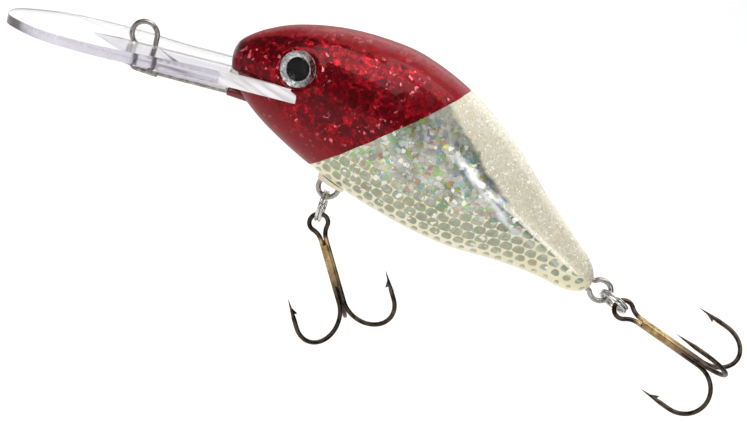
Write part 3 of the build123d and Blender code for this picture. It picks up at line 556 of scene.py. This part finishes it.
# The tang's two long edges are left frosted by the mould and show white against the red head.
TANG_END, TANG_HALF, TANG_THICK, TANG_SHOWN = (14.3, 2.5), 8.8, 2.5, 15.0
STRIP_PROUD, STRIP_DEEP, STRIP_OVER, STRIP_EDGE = 0.04, 1.2, 0.02, 0.08
FROST_DARK, FROST_LIGHT = (0.60, 0.57, 0.58, 1), (0.84, 0.82, 0.83, 1)


def tang_strip(name, side):
    back_along = Vector((-math.cos(LIP_DIVE), 0, -math.sin(LIP_DIVE)))
    above = Vector((-math.sin(LIP_DIVE), 0, math.cos(LIP_DIVE)))
    end = Vector((TANG_END[0], 0, TANG_END[1]))
    corners = []
    for s in (-STRIP_OVER, TANG_SHOWN):
        for y in (TANG_HALF - STRIP_DEEP, TANG_HALF + STRIP_PROUD):
            for h in (-TANG_THICK / 2 - STRIP_OVER, TANG_THICK / 2 + STRIP_OVER):
                corner = end + back_along * s + above * h + Vector((0, side * y, 0))
                corners.append(NOSE_DATUM + corner * MM)
    quads = [(0, 1, 3, 2), (4, 6, 7, 5), (0, 4, 5, 1), (2, 3, 7, 6), (0, 2, 6, 4), (1, 5, 7, 3)]
    obj = mesh_object(name, corners, quads, False)
    edge = obj.modifiers.new("edge", "BEVEL")
    edge.width, edge.segments = STRIP_EDGE * MM, 2
    return obj


def frosted():
    made, n, shader = material("frosted_edge")
    place = datum_mm(n)
    drawn_out = n("VectorMath", {0: place, 1: (0.12, 1.0, 1.4)}, operation="MULTIPLY").outputs[0]
    streak = n("TexNoise", {"Vector": drawn_out, "Scale": 0.8, "Detail": 4.0}).outputs[0]
    colour = n.mix(n.step(streak, 0.38, 0.62), FROST_DARK, FROST_LIGHT)
    made.node_tree.links.new(colour, shader.inputs["Base Color"])
    shader.inputs["Roughness"].default_value = 0.28
    return made


FROSTED = frosted()
for side, name in ((1, "left"), (-1, "right")):
    strip = tang_strip(f"tang_edge_{name}", side)
    strip.data.materials.append(FROSTED)
    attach(strip, "lure_body")

# ---- Wire harness, hanger and beads -----------------------------------------------------------------------
# One length of drawn steel wire, bent round pins, runs from the line tie through the body to the tail loop,
# and a second, U-shaped one is cast in the lead ballast. Epoxy seals both where they enter the wood.
WIRE_TONES = ((0.20, 0.18, 0.16, 1), (0.40, 0.37, 0.35, 1))
LEAD_TONES = ((0.2, 0.2, 0.21, 1), (0.34, 0.34, 0.35, 1))
RED_EPOXY, CREAM_EPOXY = (0.16, 0.006, 0.010, 1), (0.74, 0.69, 0.52, 1)


def drawn_metal(name, tones, roughness, grain):
    """Bare metal with uneven tarnish."""
    made, n, shader = material(name)
    place = datum_mm(n)
    stain = n("TexNoise", {"Vector": place, "Scale": grain, "Detail": 5.0, "Roughness": 0.6}).outputs[0]
    colour = n.mix(n.step(stain, 0.35, 0.65), *tones)
    rough = n.span(stain, 0.3, 0.7, roughness - 0.07, roughness + 0.1)
    made.node_tree.links.new(colour, shader.inputs["Base Color"])
    made.node_tree.links.new(rough, shader.inputs["Roughness"])
    shader.inputs["Metallic"].default_value = 1.0
    return made


HARNESS = drawn_metal("steel_wire", WIRE_TONES, 0.30, 0.9)
repaint("wire_harness", HARNESS)
repaint("belly_hanger", HARNESS)
repaint("ballast_slug", drawn_metal("lead", LEAD_TONES, 0.5, 0.5))
repaint("chin_bead", plain_gloss("red_epoxy", RED_EPOXY, 0.12))
repaint("belly_bead", plain_gloss("cream_epoxy", CREAM_EPOXY, 0.18))

# ---- Split rings ------------------------------------------------------------------------------------------
# Two turns of hard spring wire, pressed flat against each other and nickel plated. They are prised apart to
# thread a hook on, so each hook can be changed and hangs free of its hanger.
NICKEL_TONES = ((0.36, 0.35, 0.33, 1), (0.66, 0.65, 0.62, 1))
NICKEL = drawn_metal("bright_nickel", NICKEL_TONES, 0.18, 0.8)
for end in ("belly", "tail"):
    repaint(f"{end}_split_ring", NICKEL)

# ---- Treble hooks -----------------------------------------------------------------------------------------
# High-carbon wire, sharpened and barbed, bent and hardened, then brazed together with brass along the upper
# shank and given a dark bronze finish, through which the braze shows golden.
BRAZE_FROM, BRAZE_TO, BRAZE_REACH = 3.4, 13.0, (2.2, 1.5)
BRAZE_MIDDLE, BRAZE_TIP = 9.2, 2.2
BRONZE_DARK, BRONZE_LIGHT = (0.022, 0.016, 0.012, 1), (0.085, 0.062, 0.045, 1)
BRASS_DARK, BRASS_LIGHT = (0.23, 0.15, 0.065, 1), (0.55, 0.40, 0.20, 1)


def hook_metal(name, eye, way):
    made, n, shader = material(name)
    place = n("VectorMath", {0: n("TexCoord").outputs["Object"], 3: 1000.0}, operation="SCALE").outputs[0]
    rel = n("VectorMath", {0: place, 1: tuple(eye * 1000)}, operation="SUBTRACT").outputs[0]
    down = n("VectorMath", {0: rel, 1: tuple(way)}, operation="DOT_PRODUCT").outputs["Value"]
    crossed = n("VectorMath", {0: rel, 1: tuple(way)}, operation="CROSS_PRODUCT").outputs[0]
    across = n("VectorMath", {0: crossed}, operation="LENGTH").outputs["Value"]
    stain = n("TexNoise", {"Vector": place, "Scale": 0.7, "Detail": 6.0, "Roughness": 0.65}).outputs[0]
    dark = n.mix(n.step(stain, 0.35, 0.65), BRONZE_DARK, BRONZE_LIGHT)
    gold = n.mix(n.step(stain, 0.4, 0.7), BRASS_DARK, BRASS_LIGHT)
    reach = n.math("ADD", down, n.math("MULTIPLY", n.math("SUBTRACT", stain, 0.5), 9.0))
    brazed = n.math("MULTIPLY", n.step(down, BRAZE_FROM - 0.8, BRAZE_FROM + 0.4),
                    n.step(reach, BRAZE_TO + 3.5, BRAZE_TO - 4.0))
    brazed = n.math("MULTIPLY", brazed, n.step(across, *BRAZE_REACH))
    tree = made.node_tree
    tree.links.new(n.mix(brazed, dark, gold), shader.inputs["Base Color"])
    tree.links.new(n.span(stain, 0.3, 0.7, 0.20, 0.40), shader.inputs["Roughness"])
    shader.inputs["Metallic"].default_value = 1.0
    return made


def shank(end):
    """(middle of the eye, unit vector down the shank) measured on the braze, which lies along the shank."""
    points = [v.co for v in frame["nodes"][f"{end}_hook_braze"].data.vertices]
    centre = sum(points, Vector()) / len(points)
    far = max(points, key=lambda p: (p - centre).length)
    near_end = [p for p in points if (p - far).length < BRAZE_TIP * MM]
    tip = sum(near_end, Vector()) / len(near_end)
    way = (tip - centre).normalized()
    hanger = Vector(next(j for j in frame["joints"] if j["name"] == f"{end}_ring_swing")["pos_m"])
    if (centre - hanger).dot(way) < 0:
        way = -way
    return centre - way * BRAZE_MIDDLE * MM, way


for end in ("belly", "tail"):
    eye, way = shank(end)
    bronze = hook_metal(f"{end}_bronze", eye, way)
    for part, slot in (("pair", "bronze_hook"), ("third", "bronze_hook"), ("braze", "braze")):
        repaint(f"{end}_hook_{part}", bronze)


# ---- Stage ------------------------------------------------------------------------------------------------
# A product photo on white: a pale floor well below the lure, which hangs clear of it, soft boxes over and
# beside it, a wash that whitens the floor, and a long lens, rolled until the lure lies as in the photo.
FLOOR_DROP, FLOOR_HALF = 0.09, 6
WORLD_LIGHT = 0.2
floor_corners = [(-FLOOR_HALF, -FLOOR_HALF, 0), (FLOOR_HALF, -FLOOR_HALF, 0), (FLOOR_HALF, FLOOR_HALF, 0),
                 (-FLOOR_HALF, FLOOR_HALF, 0)]
floor = mesh_object("floor", floor_corners, [(0, 1, 2, 3)], False)
floor.location.z = cad_box[0].z - FLOOR_DROP
floor.data.materials.append(plain_gloss("pale_floor", (0.93, 0.93, 0.93, 1), 0.7))

world = bpy.data.worlds.new("studio")
bpy.context.scene.world = world
world.use_nodes = True
world.node_tree.nodes["Background"].inputs[0].default_value = (1.0, 1.0, 1.0, 1)
world.node_tree.nodes["Background"].inputs[1].default_value = WORLD_LIGHT
bpy.context.scene.view_settings.view_transform = "Standard"


def soft_box(name, azimuth, elevation, distance, size, watts):
    light = bpy.data.lights.new(name, "AREA")
    light.shape, light.size, light.size_y = "RECTANGLE", *size
    light.energy = watts
    obj = bpy.data.objects.new(name, light)
    a, e = math.radians(azimuth), math.radians(elevation)
    back = Vector((math.sin(a) * math.cos(e), -math.cos(a) * math.cos(e), math.sin(e)))
    obj.location = TARGET + back * distance
    obj.rotation_euler = (-back).to_track_quat("-Z", "Y").to_euler()
    bpy.context.scene.collection.objects.link(obj)
    return obj


LENS, SENSOR, FRAME_WIDTH = 150.0, 36.0, 0.1419
ELEVATION, ROLL = math.radians(14.0), math.radians(31.5)
TARGET_X, TARGET_DROP = 37.6, 10.2
TARGET = NOSE_DATUM + Vector((TARGET_X, 0.0, -TARGET_DROP / math.cos(ELEVATION))) * MM
soft_box("overhead", 0, 80, 1.5, (0.9, 0.7), 8)
soft_box("key", -30, 48, 1.0, (0.8, 0.6), 5.5)
soft_box("fill", 35, 12, 0.9, (0.25, 0.25), 1.5)
wash = soft_box("floor_wash", 180, 40, 2.2, (2.4, 2.4), 34)
wash.rotation_euler = (0, 0, 0)
soft_box("back_card", 180, 22, 1.2, (1.8, 0.7), 2.8)

camera_data = bpy.data.cameras.new("camera")
camera_data.lens, camera_data.sensor_width = LENS, SENSOR
camera = bpy.data.objects.new("camera", camera_data)
bpy.context.scene.collection.objects.link(camera)
distance = FRAME_WIDTH * LENS / SENSOR
right = Vector((1, 0, 0))
up = Vector((0, math.sin(ELEVATION), math.cos(ELEVATION)))
turned_right = right * math.cos(ROLL) + up * math.sin(ROLL)
turned_up = up * math.cos(ROLL) - right * math.sin(ROLL)
toward = turned_right.cross(turned_up)
camera.matrix_world = Matrix((turned_right, turned_up, toward)).transposed().to_4x4()
camera.location = TARGET + toward * distance
bpy.context.scene.camera = camera
